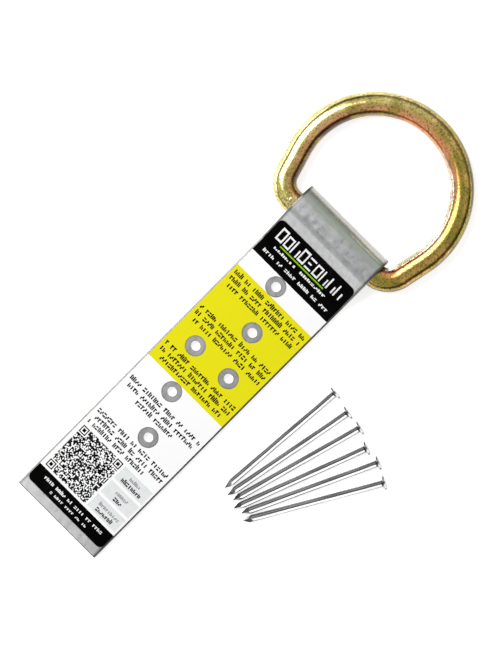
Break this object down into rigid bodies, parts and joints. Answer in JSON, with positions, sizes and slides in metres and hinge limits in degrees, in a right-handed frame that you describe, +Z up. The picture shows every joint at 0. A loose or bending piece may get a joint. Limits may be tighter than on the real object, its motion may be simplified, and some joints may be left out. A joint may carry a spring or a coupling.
{
  "type": "roof anchor",
  "caption": "Nail-down roof anchor: a folded galvanised strap with nail holes and a label holds a swinging D-ring, with its loose nails beside it.",
  "frame": {"origin": "on the underside of the lower leaf, midway between the fold and the free ends, in the plane of the roof", "axes": "+Y along the strap towards the D-ring, +X across the strap towards the nails, +Z up off the roof"},
  "size_m": [0.1635, 0.2875, 0.0177],
  "materials": {
    "galvanised_steel": "hot-dip galvanised, dull grey with faint spangle and scuffs",
    "yellow_zinc_plated_steel": "yellow zinc chromate over a bent rod, with a rainbow tint and fine grain",
    "printed_film": "printed adhesive film in black, white and yellow",
    "bright_steel": "bright drawn wire, slightly dark with oil"
  },
  "bodies": {
    "strap": {"strap": "galvanised_steel", "label": "printed_film"},
    "d_ring": {"d_ring": "yellow_zinc_plated_steel"},
    "nail_1": {"nail_1": "bright_steel"},
    "nail_2": {"nail_2": "bright_steel"},
    "nail_3": {"nail_3": "bright_steel"},
    "nail_4": {"nail_4": "bright_steel"},
    "nail_5": {"nail_5": "bright_steel"},
    "nail_6": {"nail_6": "bright_steel"}
  },
  "joints": [
    {"name": "ring_swing", "type": "hinge", "parent": "strap", "child": "d_ring", "pos_m": [-0.0018, 0.09644, 0.00885], "axis": [0.9992, 0.0401, 0], "range_deg": [0, 179]},
    {"name": "nail_1_lift", "type": "slide", "parent": "strap", "child": "nail_1", "axis": [0, 0, 1], "range_m": [0, 0.076]},
    {"name": "nail_2_lift", "type": "slide", "parent": "strap", "child": "nail_2", "axis": [0, 0, 1], "range_m": [0, 0.076]},
    {"name": "nail_3_lift", "type": "slide", "parent": "strap", "child": "nail_3", "axis": [0, 0, 1], "range_m": [0, 0.076]},
    {"name": "nail_4_lift", "type": "slide", "parent": "strap", "child": "nail_4", "axis": [0, 0, 1], "range_m": [0, 0.076]},
    {"name": "nail_5_lift", "type": "slide", "parent": "strap", "child": "nail_5", "axis": [0, 0, 1], "range_m": [0, 0.076]},
    {"name": "nail_6_lift", "type": "slide", "parent": "strap", "child": "nail_6", "axis": [0, 0, 1], "range_m": [0, 0.076]}
  ]
}
